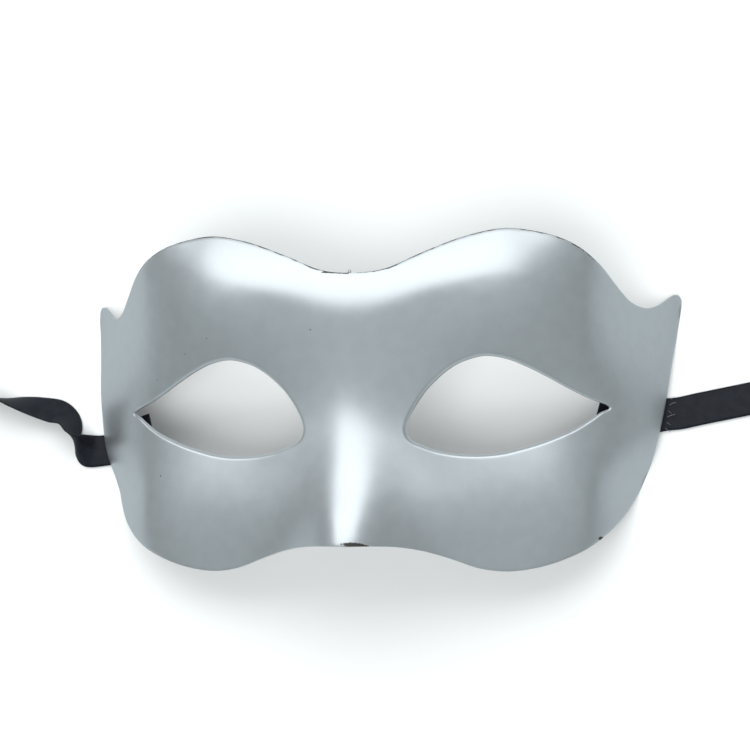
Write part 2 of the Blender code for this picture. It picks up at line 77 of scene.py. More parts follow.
# Right half of the outer edge, from the middle of the brow round to the foot of the nose. across
# is a share of HALF_WIDTH. up is a share of BROW_HEIGHT, or of CHEEK_DROP where it is negative.
# The wall runs out from the eye opening in rays: eye is how far round the opening, clockwise from
# its inner corner, the row's ray starts, and rays is how many there are up to the next row.
OUTER_EDGE = [
    {"across": 0.000, "up": 0.752, "eye": 0.075, "rays": 2},
    {"across": 0.100, "up": 0.772, "eye": 0.100, "rays": 2},
    {"across": 0.215, "up": 0.862, "eye": 0.135, "rays": 3},
    {"across": 0.340, "up": 0.952, "eye": 0.180, "rays": 2},
    {"across": 0.460, "up": 1.000, "eye": 0.235, "rays": 2},
    {"across": 0.540, "up": 0.990, "eye": 0.275, "rays": 2},
    {"across": 0.635, "up": 0.945, "eye": 0.320, "rays": 1},
    {"across": 0.700, "up": 0.882, "eye": 0.350, "rays": 2},
    {"across": 0.757, "up": 0.785, "eye": 0.375, "rays": 2},
    {"across": 0.808, "up": 0.655, "eye": 0.395, "rays": 1},
    {"across": 0.847, "up": 0.570, "eye": 0.410, "rays": 1},
    {"across": 0.890, "up": 0.538, "eye": 0.425, "rays": 1},
    {"across": 0.934, "up": 0.562, "eye": 0.437, "rays": 1},
    {"across": 0.968, "up": 0.612, "eye": 0.447, "rays": 1},
    {"across": 0.986, "up": 0.630, "eye": 0.452, "rays": 1},
    {"across": 0.999, "up": 0.605, "eye": 0.457, "rays": 1},
    {"across": 1.000, "up": 0.560, "eye": 0.461, "rays": 2},
    {"across": 0.986, "up": 0.390, "eye": 0.474, "rays": 2},
    {"across": 0.971, "up": 0.226, "eye": 0.485, "rays": 2},
    {"across": 0.955, "up": 0.027, "eye": 0.500, "rays": 2},
    {"across": 0.938, "up": -0.143, "eye": 0.513, "rays": 2},
    {"across": 0.917, "up": -0.306, "eye": 0.528, "rays": 2},
    {"across": 0.888, "up": -0.470, "eye": 0.545, "rays": 2},
    {"across": 0.851, "up": -0.612, "eye": 0.570, "rays": 2},
    {"across": 0.800, "up": -0.745, "eye": 0.605, "rays": 2},
    {"across": 0.730, "up": -0.858, "eye": 0.645, "rays": 1},
    {"across": 0.658, "up": -0.925, "eye": 0.685, "rays": 2},
    {"across": 0.570, "up": -0.977, "eye": 0.730, "rays": 2},
    {"across": 0.470, "up": -1.000, "eye": 0.780, "rays": 2},
    {"across": 0.385, "up": -0.978, "eye": 0.820, "rays": 2},
    {"across": 0.300, "up": -0.918, "eye": 0.860, "rays": 1},
    {"across": 0.225, "up": -0.868, "eye": 0.895, "rays": 2},
    {"across": 0.140, "up": -0.832, "eye": 0.930, "rays": 3},
    {"across": 0.000, "up": -0.815, "eye": 0.955, "rays": 14},
]

# The eye opening. along is a share of EYE_LENGTH from the inner corner. rise is a share of
# EYE_UPPER above EYE_LEVEL, or of EYE_LOWER below it.
UPPER_LID = [
    {"along": 0.000, "rise": -0.406},
    {"along": 0.010, "rise": -0.190},
    {"along": 0.050, "rise": 0.118},
    {"along": 0.101, "rise": 0.381},
    {"along": 0.156, "rise": 0.585},
    {"along": 0.204, "rise": 0.730},
    {"along": 0.255, "rise": 0.849},
    {"along": 0.306, "rise": 0.928},
    {"along": 0.395, "rise": 1.000},
    {"along": 0.500, "rise": 0.942},
    {"along": 0.600, "rise": 0.790},
    {"along": 0.700, "rise": 0.593},
    {"along": 0.798, "rise": 0.382},
    {"along": 0.895, "rise": 0.191},
    {"along": 1.000, "rise": 0.000},
]
LOWER_LID = [
    {"along": 0.963, "rise": -0.090},
    {"along": 0.905, "rise": -0.266},
    {"along": 0.848, "rise": -0.422},
    {"along": 0.788, "rise": -0.547},
    {"along": 0.671, "rise": -0.742},
    {"along": 0.550, "rise": -0.890},
    {"along": 0.486, "rise": -0.955},
    {"along": 0.379, "rise": -1.000},
    {"along": 0.254, "rise": -0.977},
    {"along": 0.145, "rise": -0.883},
    {"along": 0.084, "rise": -0.781},
    {"along": 0.040, "rise": -0.695},
    {"along": 0.009, "rise": -0.562},
]

# Section of the face from its middle to the temple. deep is a share of FACE_DEPTH.
FACE_SECTION = [
    {"across": 0.000, "deep": 1.000},
    {"across": 0.160, "deep": 0.975},
    {"across": 0.320, "deep": 0.918},
    {"across": 0.480, "deep": 0.862},
    {"across": 0.600, "deep": 0.796},
    {"across": 0.700, "deep": 0.704},
    {"across": 0.780, "deep": 0.590},
    {"across": 0.850, "deep": 0.455},
    {"across": 0.920, "deep": 0.300},
    {"across": 1.000, "deep": 0.115},
]

# How the nose comes out of the face, as shares of its rises and of its ridge's reach, on the same
# up scale.
NOSE_PROFILE = [
    {"up": 1.00, "share": 0.000, "reach": 0.60},
    {"up": 0.50, "share": 0.020, "reach": 0.60},
    {"up": 0.25, "share": 0.045, "reach": 0.60},
    {"up": 0.10, "share": 0.075, "reach": 0.61},
    {"up": -0.11, "share": 0.165, "reach": 0.66},
    {"up": -0.30, "share": 0.320, "reach": 0.76},
    {"up": -0.46, "share": 0.500, "reach": 0.86},
    {"up": -0.67, "share": 0.840, "reach": 0.97},
    {"up": -0.80, "share": 1.000, "reach": 1.00},
    {"up": -1.00, "share": 1.120, "reach": 1.00},
]

# Soft swellings and hollows: where each one is, what it is worth and how far it reaches.
RELIEF = [
    {"across": 0.42, "up": 0.60, "rise": BROW_RISE, "wide": 0.30, "high": 0.38},
    {"across": 0.74, "up": -0.72, "rise": CHEEK_RISE, "wide": 0.22, "high": 0.42},
    {"across": 0.40, "up": -0.66, "rise": UNDER_EYE_RISE, "wide": 0.28, "high": 0.30},
    {"across": 0.50, "up": -0.05, "rise": -SOCKET_DEPTH, "wide": 0.28, "high": 0.24},
]

# How far the side rim is bent in to the table, as a share of RIM_DROP. It is bent least where the
# ribbons pass under it.
SIDE_RIM = [
    {"up": 1.00, "share": 1.04},
    {"up": 0.58, "share": 1.04},
    {"up": 0.40, "share": 0.76},
    {"up": 0.27, "share": 0.46},
    {"up": 0.12, "share": 0.08},
    {"up": -0.02, "share": -0.14},
    {"up": -0.15, "share": -0.24},
    {"up": -0.27, "share": -0.26},
    {"up": -0.39, "share": 0.20},
    {"up": -0.50, "share": 0.92},
    {"up": -0.56, "share": 1.08},
    {"up": -0.62, "share": 1.00},
    {"up": -0.70, "share": 0.75},
    {"up": -0.82, "share": 0.50},
    {"up": -1.00, "share": 0.50},
]
SIDE_RIM_START = 0.70
SIDE_RIM_END = 0.98

# The brow's rolled edge fades out between these shares of HALF_WIDTH. It runs on this far past the
# brow's line, as a share of its reach, and that line is the first rows of OUTER_EDGE.
BROW_ROLL_START = 0.50
BROW_ROLL_END = 0.76
BROW_ROLL_LIMIT = 1.2
BROW_ROWS = 9

# Where each ribbon is glued to the inside of the temple, from its inner end to where it leaves the
# wall, and its free route along the table. out is how far past HALF_WIDTH a point lies, and turn
# is the ribbon's twist in degrees: 0 lies flat.
RIBBONS = [
    {
        "name": "ribbon_right",
        "side": 1,
        "length": 0.0603,
        "seat": [{"across": 0.768, "up": -0.082}, {"across": 0.835, "up": -0.115}],
        "route": [
            {"out": -0.0137, "y": 0.0042, "z": 0.00480, "turn": 0},
            {"out": -0.0113, "y": 0.0047, "z": 0.00170, "turn": 0},
            {"out": -0.0083, "y": 0.0053, "z": 0.00062, "turn": 0},
            {"out": -0.0047, "y": 0.0059, "z": 0.00058, "turn": 0},
            {"out": -0.0007, "y": 0.0063, "z": 0.00058, "turn": 0},
            {"out": 0.0052, "y": 0.0076, "z": 0.00058, "turn": 0},
            {"out": 0.0125, "y": 0.0091, "z": 0.00058, "turn": 0},
            {"out": 0.0198, "y": 0.0106, "z": 0.00058, "turn": 0},
            {"out": 0.0240, "y": 0.0115, "z": 0.00058, "turn": 0},
            {"out": 0.0284, "y": 0.0124, "z": 0.00058, "turn": 0},
        ],
    },
    {
        "name": "ribbon_left",
        "side": -1,
        "length": 0.0755,
        "seat": [{"across": 0.750, "up": -0.145}, {"across": 0.825, "up": -0.190}],
        "route": [
            {"out": -0.0147, "y": -0.0019, "z": 0.00520, "turn": 0},
            {"out": -0.0123, "y": -0.0023, "z": 0.00200, "turn": 0},
            {"out": -0.0095, "y": -0.0031, "z": 0.00062, "turn": 0},
            {"out": -0.0035, "y": -0.0040, "z": 0.00090, "turn": 4},
            {"out": -0.0002, "y": -0.0043, "z": 0.00300, "turn": 32},
            {"out": 0.0021, "y": -0.0030, "z": 0.00510, "turn": 70},
            {"out": 0.0031, "y": -0.0004, "z": 0.00550, "turn": 97},
            {"out": 0.0042, "y": 0.0032, "z": 0.00500, "turn": 118},
            {"out": 0.0066, "y": 0.0062, "z": 0.00380, "turn": 138},
            {"out": 0.0103, "y": 0.0085, "z": 0.00290, "turn": 152},
            {"out": 0.0165, "y": 0.0100, "z": 0.00360, "turn": 143},
            {"out": 0.0230, "y": 0.0113, "z": 0.00460, "turn": 126},
            {"out": 0.0280, "y": 0.0122, "z": 0.00520, "turn": 110},
            {"out": 0.0340, "y": 0.0132, "z": 0.00540, "turn": 103},
        ],
    },
]

# How far the shell leans back when it rests on its two side points and on its lower side rims.
RESTING_LEAN = math.radians(19.70)

# How finely the wall is divided, from the eye opening out to the edge. LIP_TURNS are the angles at
# which its rows lie round the lip.
RAY_SPLIT = 4
LIP_TURNS = [90, 76, 62, 48, 34, 20, 8]
BLEND_RINGS = 12
OUTER_RINGS = 30
EYE_STEPS = 16

# How far to each side the way round the eye opening is read, as a share of it, and the face's slope.
EYE_TANGENT_STEP = 0.010
SLOPE_STEP = 0.0003

# Where the two halves meet, how the wall's edges are rounded, and which edges stay sharp.
MIDDLE_REACH = 0.0001
MIRROR_MERGE = 0.00002
RIM_ROUND = 0.00022
RIM_SEGMENTS = 2
RIM_ANGLE = math.radians(50)
SHARP_ANGLE = math.radians(60)

# The ribbon as it really is, thinner than its solid, and how finely it is divided.
SATIN_THICK = 0.00035
SATIN_ACROSS = 12
SEAT_SECTIONS = 4
SEAT_STEPS = 10
ROUTE_STEPS = 12

# The camera, in the face frame: how far round it stands, how far away, and how the picture is
# rolled and shifted.
CAMERA_YAW = math.radians(10)
CAMERA_ROLL = math.radians(0.76)
CAMERA_DISTANCE = 0.600
CAMERA_LENS = 93.0
CAMERA_SENSOR = 36.0
CAMERA_SHIFT = (-0.0117, 0.0333)

# The silver paint: its colour and fainter patches, its gloss, and the size and height of its grain.
SILVER = (0.570, 0.585, 0.605)
SILVER_PALE = (0.590, 0.605, 0.625)
PAINT_METALLIC = 0.85
PAINT_ROUGHNESS = 0.36
PAINT_ROUGHNESS_SPREAD = 0.015
GRAIN_SIZE = 0.00045
GRAIN_HEIGHT = 0.00003
GRAIN_STRENGTH = 0.22
PATCH_SIZE = 0.0040

# The plastic under it, where the paint is rubbed off (also used as painted shade along the upper
# lids), and on the inside of the shell.
BARE_PLASTIC_AND_SHADE = (0.035, 0.028, 0.024)
RAW_PLASTIC = (0.20, 0.20, 0.21)
RAW_PLASTIC_DARK = (0.165, 0.165, 0.175)
RAW_ROUGHNESS = 0.5

# The worn line on the brow's rim: its width, how that varies over a range of soft noise, the size of
# its breaks and the shares of its width between which it fades. Then how high on the face it starts,
# and the shares of HALF_WIDTH between which it stops.
BROW_WEAR = 0.00030
EDGE_BREAKS = (0.38, 0.62)
EDGE_WIDTHS = (0.35, 1.5)
EDGE_GRAIN = 0.0035
EDGE_FADE = (0.7, 1.0)
BROW_WEAR_FROM = 0.030
BROW_WEAR_OUT = (0.700, 0.775)

# The painted shade along the upper lid, whose edge faces down: how far from the opening it fades, how
# dark it is, and the share of the way round over which it fades at the corners.
LID_SHADE_REACH = (0.00055, 0.00110)
LID_SHADE_DARK = 0.75
LID_SHADE_FADE = 0.06

# Small chips in the paint, in the face frame. A stretched one runs along the rim. CHIP_GRAIN is how
# coarse their raggedness is, and CHIP_EDGE is where they fade, as shares of the radius with that
# raggedness added.
CHIP_GRAIN = 0.0006
CHIP_EDGE = (1.30, 1.55)
CHIPS = [
    {"x": -0.0052, "y": 0.0368, "radius": 0.0005, "stretch": 9.0},
    {"x": 0.0040, "y": -0.0398, "radius": 0.0007, "stretch": 7.0},
    {"x": 0.0690, "y": -0.0405, "radius": 0.0006, "stretch": 2.4},
    {"x": -0.0120, "y": 0.0203, "radius": 0.00022, "stretch": 1.0},
    {"x": -0.0512, "y": 0.0142, "radius": 0.00020, "stretch": 1.0},
    {"x": -0.0436, "y": 0.0185, "radius": 0.00018, "stretch": 1.0},
    {"x": -0.0618, "y": 0.0068, "radius": 0.00018, "stretch": 1.0},
    {"x": -0.0600, "y": -0.0215, "radius": 0.00024, "stretch": 1.0},
]

# The satin: the pitch of its cross ribs and of its fainter lengthwise threads, and its sheen.
SATIN = (0.0085, 0.0090, 0.0140)
SATIN_SHINE = (0.0140, 0.0145, 0.0205)
SATIN_SPECULAR = 0.16
SATIN_ROUGHNESS = 0.51
SATIN_ROUGHNESS_SPREAD = 0.05
RIB_PITCH = 0.00042
RIB_HEIGHT = 0.00003
RIB_STRENGTH = 0.3
THREAD_PITCH = 0.00060
THREAD_SHARE = 0.4
SHEEN_SIZE = 0.0030

# How fine soft noise is, the ranges that it mostly keeps to, and the ways that a share runs.
FINE_DETAIL = 2.0
SOFT_DETAIL = 3.0
MOTTLE_DETAIL = 4.0
NOISE_RANGE = (0.30, 0.70)
NOISE_MIDDLE = (0.35, 0.65)
RISING = (0.0, 1.0)
FALLING = (1.0, 0.0)

# The pip on the brow's rim.
PIP_SIZE = 0.0010
PIP_STRETCH = 1.5
PIP_SPLIT = 3
PIP_ACROSS = -0.0011
PIP_UP = 0.0003
PIP_METALLIC = 0.8
PIP_ROUGHNESS = 0.4

# The loose threads: the line along the right ribbon's edge that they leave, how many there are and
# how long and thick, and how they bend, turn and differ in size.
FRAY_LINE = [(0.0866, 0.0014, 0.0013), (0.0874, 0.0060, 0.0013), (0.0882, 0.0104, 0.0013)]
FRAY = {"Threads": 6, "Length": 0.0025, "Thickness": 0.00006, "Seed": 4}
THREAD_STEPS = 8
THREAD_SIDES = 5
THREAD_BEND = 0.45
THREAD_TURNS = [(-0.25, -0.15, -0.9), (0.35, 0.15, 0.9)]
THREAD_SIZES = (0.45, 1.0)
THREAD_GREY = (0.28, 0.28, 0.29)
THREAD_ROUGHNESS = 0.7

# The studio: a pale table and its glow in the paint, and the room, lighter above than at the level
# of the table.
TABLE_SIZE = 6.0
TABLE_COLOUR = (0.93, 0.90, 0.89)
TABLE_ROUGHNESS = 0.7
TABLE_GLOW = 0.72
ROOM_TINT = (0.885, 1.0, 1.025)
ROOM_LEVEL = 0.25
ROOM_ABOVE = 0.49
ROOM_RISE = (0.10, 0.75)
ROOM_EDGE = (-0.04, 0.04)

# A wide soft panel overhead that shows in the paint, and a softer light that only brightens the table.
PANEL_TINT = (0.955, 1.0, 1.010)
PANELS = [
    {
        "name": "overhead_panel",
        "place": (-0.12, 0.66, 0.99),
        "wide": 1.75,
        "long": 1.35,
        "power": 11.8,
        "shows": True,
    },
    {
        "name": "table_light",
        "place": (0.0, -0.66, 1.02),
        "wide": 0.7,
        "long": 0.5,
        "power": 8.0,
        "shows": False,
    },
]


def smooth_walk(points, closed, steps):
    """Points on a smooth curve through the given ones, steps[i] of them from point i to the next."""
    points = [np.array(point, float) for point in points]
    count = len(points)
    spans = count if closed else count - 1
    walk = []
    for i in range(spans):
        before, start, end, after = (points[j % count] for j in (i - 1, i, i + 1, i + 2))
        if not closed and i == 0:
            before = 2 * start - end
        if not closed and i == spans - 1:
            after = 2 * end - start
        k0 = 0.0
        k1 = k0 + math.sqrt(np.linalg.norm(start - before))
        k2 = k1 + math.sqrt(np.linalg.norm(end - start))
        k3 = k2 + math.sqrt(np.linalg.norm(after - end))
        for step in range(steps[i]):
            t = k1 + (k2 - k1) * step / steps[i]
            a1 = ((k1 - t) * before + (t - k0) * start) / (k1 - k0)
            a2 = ((k2 - t) * start + (t - k1) * end) / (k2 - k1)
            a3 = ((k3 - t) * end + (t - k2) * after) / (k3 - k2)
            b1 = ((k2 - t) * a1 + (t - k0) * a2) / (k2 - k0)
            b2 = ((k3 - t) * a2 + (t - k1) * a3) / (k3 - k1)
            walk.append(((k2 - t) * b1 + (t - k1) * b2) / (k2 - k1))
    if not closed:
        walk.append(points[-1])
    return np.array(walk)


def smooth_line(rows, across, value, mirrored=False):
    """A function that runs smoothly through a table's rows, and straight on past its ends."""
    knots = np.array([row[across] for row in rows], float)
    values = np.array([row[value] for row in rows], float)
    if mirrored:
        knots = np.concatenate([-knots[:0:-1], knots])
        values = np.concatenate([values[:0:-1], values])
    order = np.argsort(knots)
    knots, values = knots[order], values[order]
    gaps = np.diff(knots)
    slopes = np.diff(values) / gaps
    matrix = np.eye(len(knots))
    target = np.zeros(len(knots))
    for i in range(1, len(knots) - 1):
        matrix[i, i - 1:i + 2] = gaps[i - 1], 2 * (gaps[i - 1] + gaps[i]), gaps[i]
        target[i] = 6 * (slopes[i] - slopes[i - 1])
    bends = np.linalg.solve(matrix, target)
    first_slope = slopes[0] - gaps[0] * bends[1] / 6
    last_slope = slopes[-1] + gaps[-1] * bends[-2] / 6

    def evaluate(at):
        at = np.asarray(at, float)
        inside = np.clip(at, knots[0], knots[-1])
        i = np.clip(np.searchsorted(knots, inside) - 1, 0, len(gaps) - 1)
        t = (inside - knots[i]) / gaps[i]
        curve = ((1 - t) ** 3 - (1 - t)) * bends[i] + (t ** 3 - t) * bends[i + 1]
        smooth = (1 - t) * values[i] + t * values[i + 1] + gaps[i] ** 2 / 6 * curve
        before = np.minimum(at - knots[0], 0) * first_slope
        after = np.maximum(at - knots[-1], 0) * last_slope
        return smooth + before + after

    return evaluate


def ease(share):
    """A share that starts and ends gently between 0 and 1."""
    share = np.clip(share, 0, 1)
    return share * share * (3 - 2 * share)


def bell(distance):
    """A share that is 1 at no distance and falls away softly to both sides."""
    return np.exp(-distance ** 2)


def place_up(up):
    """Height on the face of an up share."""
    return up * (BROW_HEIGHT if up > 0 else CHEEK_DROP)


section = smooth_line(FACE_SECTION, "across", "deep", mirrored=True)
nose_share = smooth_line(NOSE_PROFILE, "up", "share")
nose_reach = smooth_line(NOSE_PROFILE, "up", "reach")
rim_share = smooth_line(SIDE_RIM, "up", "share")
brow_line = smooth_line(OUTER_EDGE[:BROW_ROWS], "across", "up", mirrored=True)


def face_height(x, y):
    """How far the outer face stands out at a place on the face, without the eye openings."""
    x, y = np.abs(np.asarray(x, float)), np.asarray(y, float)
    across = x / HALF_WIDTH
    up = y / np.where(y > 0, BROW_HEIGHT, CHEEK_DROP)
    height = FACE_DEPTH * section(across)
    nose = NOSE_RIDGE_RISE * bell(x / (NOSE_RIDGE_REACH * nose_reach(up)))
    nose += NOSE_FOOT_RISE * bell(x / NOSE_FOOT_REACH)
    height += nose * nose_share(up)
    for swell in RELIEF:
        reach = bell((across - swell["across"]) / swell["wide"])
        reach += bell((across + swell["across"]) / swell["wide"])
        height += swell["rise"] * reach * bell((up - swell["up"]) / swell["high"])
    below_brow = (brow_line(np.minimum(across, BROW_ROLL_END)) - up) * BROW_HEIGHT
    roll = np.clip(1 - below_brow / BROW_ROLL_REACH, 0, BROW_ROLL_LIMIT) ** 2
    roll_fade = ease((across - BROW_ROLL_START) / (BROW_ROLL_END - BROW_ROLL_START))
    height -= BROW_ROLL * roll * (1 - roll_fade)
    side_share = ease((across - SIDE_RIM_START) / (SIDE_RIM_END - SIDE_RIM_START))
    height -= RIM_DROP * rim_share(up) * side_share
    return height


def eye_loop():
    """The eye opening as a dense clockwise loop from its inner corner, and each point's way round."""
    points = []
    for row in UPPER_LID + LOWER_LID:
        reach = EYE_UPPER if row["rise"] > 0 else EYE_LOWER
        points.append((EYE_START + row["along"] * EYE_LENGTH, EYE_LEVEL + row["rise"] * reach))
    loop = smooth_walk(points, True, [EYE_STEPS] * len(points))
    corner = EYE_STEPS * (len(UPPER_LID) - 1)
    ends = np.roll(loop, -1, axis=0)
    run = np.concatenate([[0], np.cumsum(np.linalg.norm(ends - loop, axis=1))])
    turn = np.interp(run, [0, run[corner], run[-1]], [0, OUTER_CORNER, 1])
    return np.vstack([loop, loop[:1]]), turn


def eye_places(turns, offset):
    """Places round the eye opening, moved out from it by an offset."""
    loop, loop_turns = eye_loop()
    turns = np.asarray(turns) % 1.0

    def place(at):
        at = at % 1.0
        return np.stack([np.interp(at, loop_turns, loop[:, k]) for k in (0, 1)], axis=1)

    along = place(turns + EYE_TANGENT_STEP) - place(turns - EYE_TANGENT_STEP)
    along /= np.linalg.norm(along, axis=1)[:, None]
    outward = np.stack([-along[:, 1], along[:, 0]], axis=1)
    return place(turns) + offset * outward


def half_border():
    """The border of the right half, clockwise from the middle of the brow, with each ray's turn."""
    rows = [(row["across"] * HALF_WIDTH, place_up(row["up"])) for row in OUTER_EDGE]
    steps = [row["rays"] * RAY_SPLIT for row in OUTER_EDGE]
    mirrored_start = [(-rows[1][0], rows[1][1])]
    mirrored_end = [(-rows[-2][0], rows[-2][1])]
    edge = smooth_walk(mirrored_start + rows + mirrored_end, False, [1] + steps[:-1] + [1])[1:-1]
    middle = np.linspace(rows[-1], rows[0], steps[-1] + 1)[1:-1]
    turns = []
    eyes = [row["eye"] for row in OUTER_EDGE] + [1 + OUTER_EDGE[0]["eye"]]
    for start, end, count in zip(eyes, eyes[1:], steps):
        turns += [start + (end - start) * step / count for step in range(count)]
    return np.vstack([edge, middle]), np.array(turns)


def shell_rings():
    """The outer face of the right half as rings of points, from the eye's lip to the border."""
    border, turns = half_border()
    rings = []
    for angle in LIP_TURNS:
        lean = math.radians(angle)
        places = eye_places(turns, LIP_REACH * (1 - math.sin(lean)))
        rings.append((places, -LIP_DEPTH * (1 - math.cos(lean))))
    for ring in range(BLEND_RINGS + 1):
        offset = LIP_REACH + (BLEND_REACH - LIP_REACH) * ring / BLEND_RINGS
        rings.append((eye_places(turns, offset), 0.0))
    inner = rings[-1][0]
    for ring in range(1, OUTER_RINGS + 1):
        share = ring / OUTER_RINGS
        rings.append((inner + (border - inner) * share, 0.0))
    solid = []
    for places, rise in rings:
        heights = face_height(places[:, 0], places[:, 1]) + rise
        solid.append(np.column_stack([places, heights]))
    return np.array(solid)


def plain_mesh(made, name):
    """The object as its modifiers leave it, as an object with a plain mesh."""
    bpy.context.view_layer.update()
    depsgraph = bpy.context.evaluated_depsgraph_get()
    mesh = bpy.data.meshes.new_from_object(made.evaluated_get(depsgraph))
    made.modifiers.clear()
    made.data = mesh
    mesh.name = name
    return made


def in_scene(name, data):
    """An object of this data, linked to the scene."""
    made = bpy.data.objects.new(name, data)
    bpy.context.scene.collection.objects.link(made)
    return made


def add_object(name, points, faces):
    """An object whose mesh has these points and faces."""
    mesh = bpy.data.meshes.new(name)
    mesh.from_pydata([tuple(point) for point in points], [], faces)
    mesh.update()
    return in_scene(name, mesh)


def add_values(made, name, values):
    """A named value at each point of a mesh, for its material to read."""
    made.data.attributes.new(name, "FLOAT", "POINT").data.foreach_set("value", np.ravel(values))


def add_shell_values(shell, rings):
    """Each point's distance from the eye opening and the rim, the brow's wear and the upper lids'
    painted shade.
    """
    count, rays = rings.shape[:2]
    steps = np.linalg.norm(np.diff(rings, axis=0), axis=2)
    from_eye = np.vstack([np.zeros(rays), np.cumsum(steps, axis=0)])
    add_values(shell, "from_eye", from_eye)
    across, up = rings[-1, :, 0], rings[-1, :, 1]
    nearest = np.minimum(up.max() - up, up - place_up(OUTER_EDGE[-1]["up"]))
    to_rim = np.where(across < MIDDLE_REACH, nearest, 0)
    add_values(shell, "from_rim", from_eye[-1] - from_eye + to_rim)
    start, end = BROW_WEAR_OUT
    brow = ease(rings[:, :, 1] / BROW_WEAR_FROM)
    brow *= 1 - ease((rings[:, :, 0] / HALF_WIDTH - start) / (end - start))
    add_values(shell, "brow", brow)
    turns = half_border()[1] % 1.0
    # Painted shade along the upper lids, fading out at both corners.
    upper = ease(turns / LID_SHADE_FADE) * ease((OUTER_CORNER - turns) / LID_SHADE_FADE)
    add_values(shell, "upper_lid_shade", np.tile(upper, (count, 1)))


def make_shell():
    """The painted shell: half a sheet, mirrored, given its wall and rounded along its rims."""
    rings = shell_rings()
    count, rays = rings.shape[:2]
    faces = []
    for ring in range(count - 1):
        for ray in range(rays):
            after = (ray + 1) % rays
            inner, outer = ring * rays, (ring + 1) * rays
            faces.append((inner + ray, inner + after, outer + after, outer + ray))
    shell = add_object("painted_shell", rings.reshape(-1, 3), faces)
    add_shell_values(shell, rings)
    mirror = shell.modifiers.new("other_half", "MIRROR")
    mirror.use_clip = True
    mirror.merge_threshold = MIRROR_MERGE
    wall = shell.modifiers.new("wall", "SOLIDIFY")
    wall.thickness = WALL
    wall.offset = -1
    wall.use_quality_normals = True
    wall.material_offset = 1
    rims = shell.modifiers.new("rims", "BEVEL")
    rims.width = RIM_ROUND
    rims.segments = RIM_SEGMENTS
    rims.limit_method = "ANGLE"
    rims.angle_limit = RIM_ANGLE
    for side in ("outside", "inside"):
        shell.data.materials.append(bpy.data.materials.new(side))
    return plain_mesh(shell, "painted_shell")


def shell_place(shell):
    """The turn and shift that bring the shell from the face frame to its place in the frame."""
    lean = Matrix.Rotation(RESTING_LEAN, 4, "X")
    points = np.empty(len(shell.data.vertices) * 3)
    shell.data.vertices.foreach_get("co", points)
    turned = points.reshape(-1, 3) @ np.array(lean.to_3x3().transposed())
    low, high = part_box("mask_shell")
    middle = (low.y + high.y) / 2 - (turned[:, 1].min() + turned[:, 1].max()) / 2
    return Matrix.Translation((0, middle, high.z - turned[:, 2].max())) @ lean


def rest_shell(shell, placed):
    """Put the shell in its place, with its rims flat where they rest on the table, and paint it."""
    shell.data.transform(placed)
    for vertex in shell.data.vertices:
        vertex.co.z = max(vertex.co.z, 0.0)
    shell.data.shade_smooth()
    shell.data.set_sharp_from_angle(angle=SHARP_ANGLE)
    shell.data.materials[0] = silver_paint(placed)
    shell.data.materials[1] = raw_plastic()


def on_face(x, y):
    """The place on the outer face that lies this far across and up."""
    return Vector((x, y, float(face_height(x, y))))


def face_normal(x, y):
    """Which way the outer face looks at a place on the face."""
    step = SLOPE_STEP
    slope_x = (face_height(x + step, y) - face_height(x - step, y)) / (2 * step)
    slope_y = (face_height(x, y + step) - face_height(x, y - step)) / (2 * step)
    return Vector((-slope_x, -slope_y, 1)).normalized()


def seat_rows(ribbon, placed):
    """Middle and side direction of the ribbon where it is glued, just under the wall."""
    corners = []
    for row in ribbon["seat"]:
        corners.append(Vector((ribbon["side"] * row["across"] * HALF_WIDTH, place_up(row["up"]))))
    run = (corners[1] - corners[0]).to_3d()
    rows = []
    for i in range(SEAT_SECTIONS):
        share = i / (SEAT_SECTIONS - 1)
        x, y = corners[0].lerp(corners[1], share)
        normal = face_normal(x, y)
        under_lip = (LIP_DEPTH + 2 * RIBBON_GAP) * (1 - ease(share))
        depth = WALL + RIBBON_GAP + RIBBON_THICK / 2 + float(under_lip)
        middle = on_face(x, y) - normal * depth
        side = normal.cross(run).normalized()
        rows.append((placed @ middle, placed.to_3x3() @ side))
    return rows


def route_rows(ribbon):
    """Middle and side direction of the ribbon along its free route."""
    places = []
    for row in ribbon["route"]:
        places.append(Vector((ribbon["side"] * (HALF_WIDTH + row["out"]), row["y"], row["z"])))
    rows = []
    for i, row in enumerate(ribbon["route"]):
        run = places[min(i + 1, len(places) - 1)] - places[max(i - 1, 0)]
        run.z = 0
        flat = Vector((0, 0, 1)).cross(run).normalized()
        side = Matrix.Rotation(-math.radians(row["turn"]), 3, run) @ flat
        rows.append((places[i], side))
    return rows


